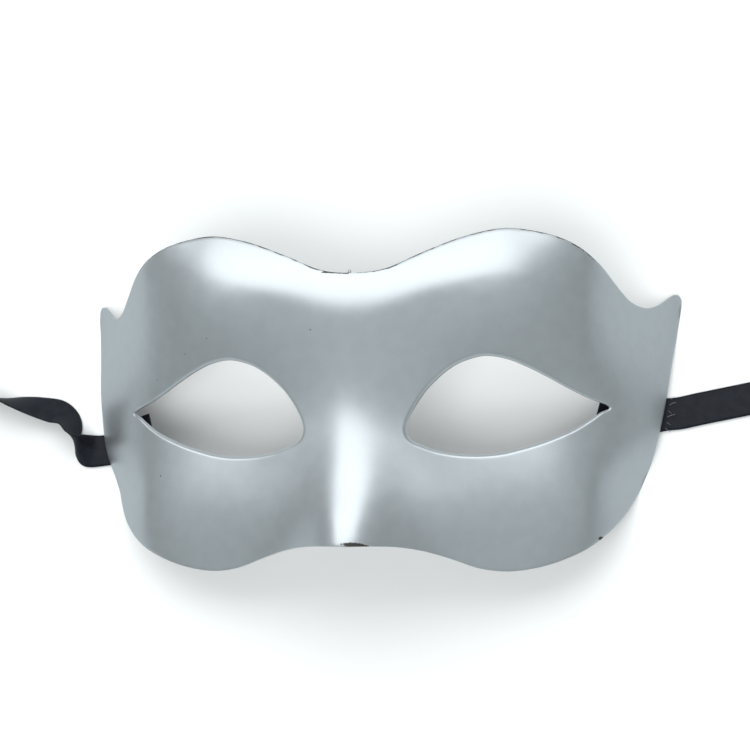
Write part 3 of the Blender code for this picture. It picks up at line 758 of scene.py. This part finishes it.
def make_ribbon(ribbon, placed, satin):
    """A satin strip along the ribbon's seat and route."""
    rows = seat_rows(ribbon, placed) + route_rows(ribbon)
    half = RIBBON_WIDTH / 2
    edges = [tuple(middle - side * half) + tuple(middle + side * half) for middle, side in rows]
    steps = [SEAT_STEPS] * (SEAT_SECTIONS - 1) + [ROUTE_STEPS] * (len(rows) - SEAT_SECTIONS)
    walk = smooth_walk(edges, False, steps)
    lows, highs = walk[:, :3], walk[:, 3:]
    middles = (lows + highs) / 2
    sides = (highs - lows) / np.linalg.norm(highs - lows, axis=1)[:, None]
    lengths = np.concatenate([[0], np.cumsum(np.linalg.norm(np.diff(middles, axis=0), axis=1))])
    shares = np.linspace(-1, 1, SATIN_ACROSS + 1)
    grid = middles[:, None] + sides[:, None] * shares[None, :, None] * half
    across = SATIN_ACROSS + 1
    faces = []
    for row in range(len(grid) - 1):
        for k in range(SATIN_ACROSS):
            first = row * across + k
            faces.append((first, first + 1, first + across + 1, first + across))
    strip = add_object(ribbon["name"].replace("ribbon", "satin_ribbon"), grid.reshape(-1, 3), faces)
    uv = strip.data.uv_layers.new(name="along")
    for loop in strip.data.loops:
        row, k = divmod(loop.vertex_index, across)
        uv.data[loop.index].uv = (shares[k] * half, lengths[row])
    strip.data.materials.append(satin)
    thick = strip.modifiers.new("cloth", "SOLIDIFY")
    thick.thickness = SATIN_THICK
    thick.offset = 0
    plain_mesh(strip, strip.name)
    strip.data.shade_smooth()
    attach(strip, "root")
    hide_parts(ribbon["name"])


def new_material(name, colour, **finish):
    """A material with its colour and finish, its nodes and its shader."""
    material = bpy.data.materials.new(name)
    material.use_nodes = True
    material.diffuse_color = (*colour, 1)
    shader = material.node_tree.nodes["Principled BSDF"]
    shader.inputs["Base Color"].default_value = (*colour, 1)
    for socket, value in finish.items():
        shader.inputs[socket].default_value = value
    return material, material.node_tree, shader


def make_pip(placed):
    """The small moulding pip that stands on the middle of the brow's rim."""
    form = bmesh.new()
    bmesh.ops.create_icosphere(form, subdivisions=PIP_SPLIT, radius=PIP_SIZE / 2)
    bmesh.ops.scale(form, vec=(1, PIP_STRETCH, 1), verts=form.verts)
    middle = on_face(PIP_ACROSS, place_up(OUTER_EDGE[0]["up"]) + PIP_UP)
    middle.z -= WALL / 2
    bmesh.ops.transform(form, matrix=placed @ Matrix.Translation(middle), verts=form.verts)
    mesh = bpy.data.meshes.new("moulding_pip")
    form.to_mesh(mesh)
    form.free()
    mesh.shade_smooth()
    finish = {"Roughness": PIP_ROUGHNESS, "Metallic": PIP_METALLIC}
    mesh.materials.append(new_material("pip_paint", SILVER, **finish)[0])
    pip = in_scene("moulding_pip", mesh)
    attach(pip, "root")


def frayed_edge():
    """A node group that sets short loose threads along a ribbon's edge."""
    sockets = [
        ("Geometry", "Geometry"),
        ("Threads", "Int"),
        ("Length", "Float"),
        ("Thickness", "Float"),
        ("Seed", "Int"),
        ("Material", "Material"),
    ]
    geometry = [("Geometry", "Geometry")]
    tree, start, end = node_group("frayed_edge", sockets, geometry, "GeometryNodeTree")
    curve = tree.nodes.new("GeometryNodeMeshToCurve")
    points = tree.nodes.new("GeometryNodeCurveToPoints")
    thread = tree.nodes.new("GeometryNodeCurveQuadraticBezier")
    thread.inputs["Resolution"].default_value = THREAD_STEPS
    thread.inputs["Start"].default_value = (0, 0, 0)
    middle = tree.nodes.new("ShaderNodeCombineXYZ")
    tip = tree.nodes.new("ShaderNodeCombineXYZ")
    ring = tree.nodes.new("GeometryNodeCurvePrimitiveCircle")
    ring.inputs["Resolution"].default_value = THREAD_SIDES
    tube = tree.nodes.new("GeometryNodeCurveToMesh")
    tube.inputs["Fill Caps"].default_value = True
    place = tree.nodes.new("GeometryNodeInstanceOnPoints")
    turn = tree.nodes.new("FunctionNodeRandomValue")
    turn.data_type = "FLOAT_VECTOR"
    turn.inputs["Min"].default_value, turn.inputs["Max"].default_value = THREAD_TURNS
    size = tree.nodes.new("FunctionNodeRandomValue")
    size.data_type = "FLOAT"
    size.inputs[2].default_value, size.inputs[3].default_value = THREAD_SIZES
    real = tree.nodes.new("GeometryNodeRealizeInstances")
    paint = tree.nodes.new("GeometryNodeSetMaterial")
    bend = maths(tree, "MULTIPLY", start.outputs["Length"], THREAD_BEND)
    links = [
        (start.outputs["Geometry"], curve.inputs["Mesh"]),
        (curve.outputs["Curve"], points.inputs["Curve"]),
        (start.outputs["Threads"], points.inputs["Count"]),
        (bend, middle.inputs["X"]),
        (bend, middle.inputs["Z"]),
        (start.outputs["Length"], tip.inputs["X"]),
        (middle.outputs["Vector"], thread.inputs["Middle"]),
        (tip.outputs["Vector"], thread.inputs["End"]),
        (start.outputs["Thickness"], ring.inputs["Radius"]),
        (thread.outputs["Curve"], tube.inputs["Curve"]),
        (ring.outputs["Curve"], tube.inputs["Profile Curve"]),
        (points.outputs["Points"], place.inputs["Points"]),
        (tube.outputs["Mesh"], place.inputs["Instance"]),
        (start.outputs["Seed"], turn.inputs["Seed"]),
        (start.outputs["Seed"], size.inputs["Seed"]),
        (turn.outputs[0], place.inputs["Rotation"]),
        (size.outputs[1], place.inputs["Scale"]),
        (place.outputs["Instances"], real.inputs["Geometry"]),
        (real.outputs["Geometry"], paint.inputs["Geometry"]),
        (start.outputs["Material"], paint.inputs["Material"]),
        (paint.outputs["Geometry"], end.inputs["Geometry"]),
    ]
    for output, entry in links:
        tree.links.new(output, entry)
    return tree


def make_threads():
    """The loose threads at the edge of the right ribbon, where it comes out from under the rim."""
    line = add_object("frayed_threads", FRAY_LINE, [])
    line.data.edges.add(len(FRAY_LINE) - 1)
    for i, edge in enumerate(line.data.edges):
        edge.vertices = (i, i + 1)
    material = new_material("loose_thread", THREAD_GREY, Roughness=THREAD_ROUGHNESS)[0]
    values = {**FRAY, "Material": material}
    fray = line.modifiers.new("fray", "NODES")
    fray.node_group = frayed_edge()
    for socket in fray.node_group.interface.items_tree:
        if socket.in_out == "INPUT" and socket.name in values:
            fray[socket.identifier] = values[socket.name]
    plain_mesh(line, "frayed_threads")
    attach(line, "root")


def node_group(name, inputs, outputs, tree_kind="ShaderNodeTree"):
    """An empty node group with its sockets, and its input and output nodes."""
    tree = bpy.data.node_groups.new(name, tree_kind)
    for direction, sockets in (("INPUT", inputs), ("OUTPUT", outputs)):
        for socket, kind in sockets:
            tree.interface.new_socket(socket, in_out=direction, socket_type="NodeSocket" + kind)
    return tree, tree.nodes.new("NodeGroupInput"), tree.nodes.new("NodeGroupOutput")


def feed(tree, socket, value):
    """Link a value to a node's input, or set it there if it is a constant."""
    if isinstance(value, bpy.types.NodeSocket):
        tree.links.new(value, socket)
    else:
        socket.default_value = value


def maths(tree, operation, *values):
    """A Math node on values or constants, as the socket of its result."""
    made = tree.nodes.new("ShaderNodeMath")
    made.operation = operation
    for socket, value in zip(made.inputs, values):
        feed(tree, socket, value)
    return made.outputs[0]


def ranged(tree, value, start, end, interpolation="SMOOTHSTEP"):
    """A value brought from one range to another."""
    made = tree.nodes.new("ShaderNodeMapRange")
    made.interpolation_type = interpolation
    entries = {"Value": value, "From Min": start[0], "From Max": start[1]}
    entries.update({"To Min": end[0], "To Max": end[1]})
    for socket, entry in entries.items():
        feed(tree, made.inputs[socket], entry)
    return made.outputs["Result"]


def noise(tree, coordinates, size, detail):
    """Soft noise whose grains are about this size."""
    made = tree.nodes.new("ShaderNodeTexNoise")
    made.inputs["Scale"].default_value = 1 / size
    made.inputs["Detail"].default_value = detail
    tree.links.new(coordinates, made.inputs["Vector"])
    return made.outputs["Fac"]


def mixed(tree, share, first, second):
    """A blend of two colours. A Mix node keeps them on its seventh and eighth inputs."""
    made = tree.nodes.new("ShaderNodeMix")
    made.data_type = "RGBA"
    feed(tree, made.inputs[0], share)
    for socket, colour in ((made.inputs[6], first), (made.inputs[7], second)):
        linked = isinstance(colour, bpy.types.NodeSocket)
        feed(tree, socket, colour if linked else (*colour, 1))
    return made.outputs[2]


def tint(tree, shader, colour):
    """Give the shader a colour that changes over the surface."""
    tree.links.new(colour, shader.inputs["Base Color"])


def vary_roughness(tree, shader, mask, middle, spread):
    """Let the roughness differ a little from place to place."""
    roughness = ranged(tree, mask, NOISE_RANGE, (middle - spread, middle + spread))
    tree.links.new(roughness, shader.inputs["Roughness"])


def raise_surface(tree, shader, height, distance, strength):
    """Let a height show as fine relief."""
    bump = tree.nodes.new("ShaderNodeBump")
    bump.inputs["Strength"].default_value = strength
    bump.inputs["Distance"].default_value = distance
    tree.links.new(height, bump.inputs["Height"])
    tree.links.new(bump.outputs["Normal"], shader.inputs["Normal"])


def paint_grain():
    """Fine orange peel and flake of sprayed paint: a height and a soft patchiness."""
    sockets = [("Height", "Float"), ("Patches", "Float")]
    tree, start, end = node_group("paint_grain", [("Coordinates", "Vector")], sockets)
    where = start.outputs["Coordinates"]
    tree.links.new(noise(tree, where, GRAIN_SIZE, FINE_DETAIL), end.inputs["Height"])
    tree.links.new(noise(tree, where, PATCH_SIZE, SOFT_DETAIL), end.inputs["Patches"])
    return tree


def worn_spot():
    """A ragged spot where the paint is chipped, round a place, stretched across the face."""
    sockets = [
        ("Coordinates", "Vector"),
        ("Place", "Vector"),
        ("Radius", "Float"),
        ("Stretch", "Float"),
    ]
    tree, start, end = node_group("worn_spot", sockets, [("Mask", "Float")])
    where, stretch = start.outputs["Coordinates"], start.outputs["Stretch"]
    apart = tree.nodes.new("ShaderNodeVectorMath")
    apart.operation = "SUBTRACT"
    tree.links.new(where, apart.inputs[0])
    tree.links.new(start.outputs["Place"], apart.inputs[1])
    parts = tree.nodes.new("ShaderNodeSeparateXYZ")
    tree.links.new(apart.outputs["Vector"], parts.inputs["Vector"])
    joined = tree.nodes.new("ShaderNodeCombineXYZ")
    for axis in ("X", "Z"):
        narrowed = maths(tree, "DIVIDE", parts.outputs[axis], stretch)
        tree.links.new(narrowed, joined.inputs[axis])
    tree.links.new(parts.outputs["Y"], joined.inputs["Y"])
    length = tree.nodes.new("ShaderNodeVectorMath")
    length.operation = "LENGTH"
    tree.links.new(joined.outputs["Vector"], length.inputs[0])
    share = maths(tree, "DIVIDE", length.outputs["Value"], start.outputs["Radius"])
    ragged = maths(tree, "ADD", share, noise(tree, where, CHIP_GRAIN, SOFT_DETAIL))
    tree.links.new(ranged(tree, ragged, CHIP_EDGE, FALLING), end.inputs["Mask"])
    return tree


def worn_edge():
    """The thin line along the rim where the paint stops, broken where it holds."""
    sockets = [("Coordinates", "Vector"), ("From Rim", "Float"), ("Width", "Float")]
    tree, start, end = node_group("worn_edge", sockets, [("Mask", "Float")])
    ragged = noise(tree, start.outputs["Coordinates"], EDGE_GRAIN, SOFT_DETAIL)
    widths = ranged(tree, ragged, EDGE_BREAKS, EDGE_WIDTHS)
    reach = maths(tree, "MULTIPLY", start.outputs["Width"], widths)
    share = maths(tree, "DIVIDE", start.outputs["From Rim"], reach)
    tree.links.new(ranged(tree, share, EDGE_FADE, FALLING), end.inputs["Mask"])
    return tree


def use_group(tree, group, **values):
    """A node group in a material, with its inputs linked or set to constants."""
    made = tree.nodes.new("ShaderNodeGroup")
    made.node_tree = group
    for name, value in values.items():
        feed(tree, made.inputs[name.replace("_", " ")], value)
    return made


def object_place(tree):
    """Where on the object a point lies."""
    return tree.nodes.new("ShaderNodeTexCoord").outputs["Object"]


def point_value(tree, name):
    """A value that the mesh keeps at its points."""
    made = tree.nodes.new("ShaderNodeAttribute")
    made.attribute_name = name
    return made.outputs["Fac"]


def silver_paint(placed):
    """Grained satin silver paint, bared to dark plastic at the rim and in chips, with painted shade on
    the upper lids.
    """
    finish = {"Roughness": PAINT_ROUGHNESS, "Metallic": PAINT_METALLIC}
    material, tree, shader = new_material("silver_paint", SILVER, **finish)
    where = object_place(tree)
    from_rim, brow, from_eye, upper_lid_shade = (
        point_value(tree, name) for name in ("from_rim", "brow", "from_eye", "upper_lid_shade")
    )
    edge = use_group(tree, worn_edge(), Coordinates=where, From_Rim=from_rim, Width=BROW_WEAR)
    wear_and_shade = maths(tree, "MULTIPLY", edge.outputs["Mask"], ranged(tree, brow, RISING, RISING))
    # Painted shade: the upper lids darken towards the opening.
    lid_shade_mask = maths(tree, "MULTIPLY", ranged(tree, from_eye, LID_SHADE_REACH, (LID_SHADE_DARK, 0.0)), upper_lid_shade)
    wear_and_shade = maths(tree, "MAXIMUM", wear_and_shade, lid_shade_mask)
    spot = worn_spot()
    for row in CHIPS:
        chip = use_group(
            tree,
            spot,
            Coordinates=where,
            Place=placed @ on_face(row["x"], row["y"]),
            Radius=row["radius"],
            Stretch=row["stretch"],
        )
        wear_and_shade = maths(tree, "MAXIMUM", wear_and_shade, chip.outputs["Mask"])
    grain = use_group(tree, paint_grain(), Coordinates=where)
    patches = grain.outputs["Patches"]
    tone = mixed(tree, ranged(tree, patches, NOISE_MIDDLE, RISING), SILVER, SILVER_PALE)
    # Dark plastic where the paint is rubbed off, and painted shade on the upper lids.
    tint(tree, shader, mixed(tree, wear_and_shade, tone, BARE_PLASTIC_AND_SHADE))
    tree.links.new(ranged(tree, wear_and_shade, RISING, (PAINT_METALLIC, 0.0)), shader.inputs["Metallic"])
    vary_roughness(tree, shader, patches, PAINT_ROUGHNESS, PAINT_ROUGHNESS_SPREAD)
    raise_surface(tree, shader, grain.outputs["Height"], GRAIN_HEIGHT, GRAIN_STRENGTH)
    return material


def raw_plastic():
    """The bare inside of the shell, with the mottle of moulded plastic."""
    material, tree, shader = new_material("raw_plastic", RAW_PLASTIC, Roughness=RAW_ROUGHNESS)
    mottle = noise(tree, object_place(tree), PATCH_SIZE, MOTTLE_DETAIL)
    mottle = ranged(tree, mottle, NOISE_RANGE, RISING)
    tint(tree, shader, mixed(tree, mottle, RAW_PLASTIC, RAW_PLASTIC_DARK))
    return material


def satin_weave():
    """Fine cross ribs and lengthwise threads of a satin ribbon: a height and a faint sheen mask."""
    sockets = [("Height", "Float"), ("Sheen", "Float")]
    tree, start, end = node_group("satin_weave", [("Along", "Vector")], sockets)
    parts = tree.nodes.new("ShaderNodeSeparateXYZ")
    tree.links.new(start.outputs["Along"], parts.inputs["Vector"])

    def waves(axis, pitch):
        turn = maths(tree, "MULTIPLY", parts.outputs[axis], 2 * math.pi / pitch)
        return maths(tree, "SINE", turn)

    threads = maths(tree, "MULTIPLY", waves("X", THREAD_PITCH), THREAD_SHARE)
    height = maths(tree, "ADD", waves("Y", RIB_PITCH), threads)
    tree.links.new(height, end.inputs["Height"])
    sheen = noise(tree, start.outputs["Along"], SHEEN_SIZE, FINE_DETAIL)
    tree.links.new(sheen, end.inputs["Sheen"])
    return tree


def black_satin():
    """Black satin: fine dark ribs with a soft, uneven shine."""
    finish = {"Roughness": SATIN_ROUGHNESS, "Specular IOR Level": SATIN_SPECULAR}
    material, tree, shader = new_material("black_satin", SATIN, **finish)
    along = tree.nodes.new("ShaderNodeUVMap")
    along.uv_map = "along"
    weave = use_group(tree, satin_weave(), Along=along.outputs["UV"])
    sheen = weave.outputs["Sheen"]
    shine = ranged(tree, sheen, NOISE_MIDDLE, RISING)
    tint(tree, shader, mixed(tree, shine, SATIN, SATIN_SHINE))
    vary_roughness(tree, shader, sheen, SATIN_ROUGHNESS, SATIN_ROUGHNESS_SPREAD)
    raise_surface(tree, shader, weave.outputs["Height"], RIB_HEIGHT, RIB_STRENGTH)
    return material


def make_camera(placed):
    """The camera where the photograph was taken from, looking at the middle of the face."""
    back = Vector((math.sin(CAMERA_YAW), 0, math.cos(CAMERA_YAW)))
    right = Vector((math.cos(CAMERA_YAW), 0, -math.sin(CAMERA_YAW)))
    up = Vector((0, 1, 0))
    rolled_right = right * math.cos(CAMERA_ROLL) - up * math.sin(CAMERA_ROLL)
    rolled_up = right * math.sin(CAMERA_ROLL) + up * math.cos(CAMERA_ROLL)
    turn = Matrix((rolled_right, rolled_up, back)).transposed().to_4x4()
    data = bpy.data.cameras.new("camera")
    data.lens = CAMERA_LENS
    data.sensor_width = CAMERA_SENSOR
    data.shift_x, data.shift_y = CAMERA_SHIFT
    camera = in_scene("camera", data)
    camera.matrix_world = placed @ Matrix.Translation(back * CAMERA_DISTANCE) @ turn
    bpy.context.scene.camera = camera


def make_table():
    """The pale table, which shows in the paint only as the glow of the room below."""
    half = TABLE_SIZE / 2
    corners = [(-half, -half, 0), (half, -half, 0), (half, half, 0), (-half, half, 0)]
    table = add_object("table", corners, [(0, 1, 2, 3)])
    material = new_material("table_top", TABLE_COLOUR, Roughness=TABLE_ROUGHNESS)[0]
    table.data.materials.append(material)
    table.visible_glossy = False


def make_room():
    """The light that comes from all round, lighter overhead, and the table's glow from below."""
    world = bpy.data.worlds.new("room")
    world.use_nodes = True
    tree = world.node_tree
    direction = tree.nodes.new("ShaderNodeTexCoord")
    parts = tree.nodes.new("ShaderNodeSeparateXYZ")
    tree.links.new(direction.outputs["Generated"], parts.inputs["Vector"])
    height = parts.outputs["Z"]
    above = ranged(tree, height, ROOM_RISE, (ROOM_LEVEL, ROOM_ABOVE))
    light = ranged(tree, height, ROOM_EDGE, (TABLE_GLOW, above), "LINEAR")
    background = tree.nodes["Background"]
    background.inputs["Color"].default_value = (*ROOM_TINT, 1)
    tree.links.new(light, background.inputs["Strength"])
    bpy.context.scene.world = world


def make_panel(row):
    """A soft light that faces the mask."""
    data = bpy.data.lights.new(row["name"], "AREA")
    data.shape = "RECTANGLE"
    data.size, data.size_y = row["wide"], row["long"]
    data.energy = row["power"]
    data.color = PANEL_TINT
    panel = in_scene(row["name"], data)
    panel.location = row["place"]
    panel.rotation_mode = "QUATERNION"
    panel.rotation_quaternion = Vector(row["place"]).to_track_quat("Z", "Y")
    panel.visible_glossy = row["shows"]


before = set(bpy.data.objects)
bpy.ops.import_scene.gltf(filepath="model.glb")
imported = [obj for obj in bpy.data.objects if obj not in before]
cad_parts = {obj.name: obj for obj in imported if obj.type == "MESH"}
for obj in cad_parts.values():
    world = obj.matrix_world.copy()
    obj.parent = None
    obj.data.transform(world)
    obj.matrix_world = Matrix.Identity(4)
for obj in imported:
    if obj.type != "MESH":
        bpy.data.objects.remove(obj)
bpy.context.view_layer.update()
shell = make_shell()
placed = shell_place(shell)
rest_shell(shell, placed)
make_camera(placed)
satin = black_satin()
for ribbon in RIBBONS:
    make_ribbon(ribbon, placed, satin)
make_pip(placed)
make_threads()
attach(shell, "root")
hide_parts("mask_shell")
make_table()
make_room()
for row in PANELS:
    make_panel(row)
bpy.context.scene.view_settings.view_transform = "Standard"
